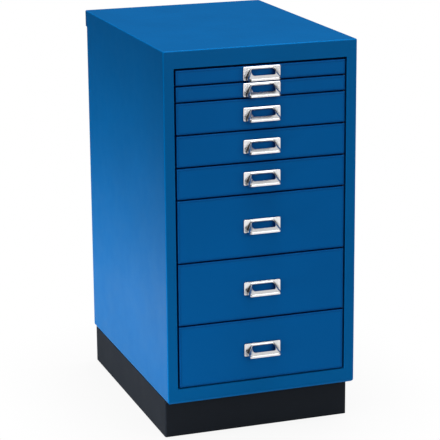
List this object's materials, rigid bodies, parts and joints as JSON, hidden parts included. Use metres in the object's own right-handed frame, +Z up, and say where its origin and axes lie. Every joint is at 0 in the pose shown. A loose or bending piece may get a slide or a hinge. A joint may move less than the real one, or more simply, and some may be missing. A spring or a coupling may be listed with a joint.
{
  "type": "multi-drawer cabinet",
  "caption": "Upright steel cabinet of shallow and deep drawers with stamped pulls, on a recessed plinth.",
  "frame": {"origin": "on the floor, under the middle of the overall box", "axes": "+Z up, +X to the right seen from the front, +Y towards the back; drawers pull out along -Y"},
  "size_m": [0.34, 0.4884, 0.673],
  "materials": {
    "casing_paint": "semi-gloss blue enamel",
    "drawer_paint": "semi-gloss blue enamel",
    "plinth_paint": "satin black",
    "inner_steel": "zinc plated",
    "pull_chrome": "bright plated",
    "fastener_zinc": "zinc plated",
    "block_plastic": "natural",
    "buffer_rubber": "matte"
  },
  "bodies": {
    "casing": {"left_side_panel": "casing_paint", "right_side_panel": "casing_paint", "top_panel": "casing_paint", "base_panel": "casing_paint", "back_panel": "casing_paint", "left_runner_plate": "inner_steel", "right_runner_plate": "inner_steel", "left_runners": "inner_steel", "right_runners": "inner_steel", "rear_buffers": "buffer_rubber", "plinth": "plinth_paint", "plinth_bolts": "fastener_zinc", "plinth_washers": "fastener_zinc", "plinth_nuts": "fastener_zinc"},
    "drawer_1": {"drawer_1_tray": "drawer_paint", "drawer_1_front": "drawer_paint", "drawer_1_handle": "pull_chrome", "drawer_1_stop_blocks": "block_plastic"},
    "drawer_2": {"drawer_2_tray": "drawer_paint", "drawer_2_front": "drawer_paint", "drawer_2_handle": "pull_chrome", "drawer_2_stop_blocks": "block_plastic"},
    "drawer_3": {"drawer_3_tray": "drawer_paint", "drawer_3_front": "drawer_paint", "drawer_3_handle": "pull_chrome", "drawer_3_stop_blocks": "block_plastic"},
    "drawer_4": {"drawer_4_tray": "drawer_paint", "drawer_4_front": "drawer_paint", "drawer_4_handle": "pull_chrome", "drawer_4_stop_blocks": "block_plastic"},
    "drawer_5": {"drawer_5_tray": "drawer_paint", "drawer_5_front": "drawer_paint", "drawer_5_handle": "pull_chrome", "drawer_5_stop_blocks": "block_plastic"},
    "drawer_6": {"drawer_6_tray": "drawer_paint", "drawer_6_front": "drawer_paint", "drawer_6_handle": "pull_chrome", "drawer_6_stop_blocks": "block_plastic"},
    "drawer_7": {"drawer_7_tray": "drawer_paint", "drawer_7_front": "drawer_paint", "drawer_7_handle": "pull_chrome", "drawer_7_stop_blocks": "block_plastic"},
    "drawer_8": {"drawer_8_tray": "drawer_paint", "drawer_8_front": "drawer_paint", "drawer_8_handle": "pull_chrome", "drawer_8_stop_blocks": "block_plastic"}
  },
  "joints": [
    {"name": "drawer_1_slide", "type": "slide", "parent": "casing", "child": "drawer_1", "axis": [0, -1, 0], "range_m": [0, 0.33]},
    {"name": "drawer_2_slide", "type": "slide", "parent": "casing", "child": "drawer_2", "axis": [0, -1, 0], "range_m": [0, 0.33]},
    {"name": "drawer_3_slide", "type": "slide", "parent": "casing", "child": "drawer_3", "axis": [0, -1, 0], "range_m": [0, 0.33]},
    {"name": "drawer_4_slide", "type": "slide", "parent": "casing", "child": "drawer_4", "axis": [0, -1, 0], "range_m": [0, 0.33]},
    {"name": "drawer_5_slide", "type": "slide", "parent": "casing", "child": "drawer_5", "axis": [0, -1, 0], "range_m": [0, 0.33]},
    {"name": "drawer_6_slide", "type": "slide", "parent": "casing", "child": "drawer_6", "axis": [0, -1, 0], "range_m": [0, 0.33]},
    {"name": "drawer_7_slide", "type": "slide", "parent": "casing", "child": "drawer_7", "axis": [0, -1, 0], "range_m": [0, 0.33]},
    {"name": "drawer_8_slide", "type": "slide", "parent": "casing", "child": "drawer_8", "axis": [0, -1, 0], "range_m": [0, 0.33]}
  ]
}
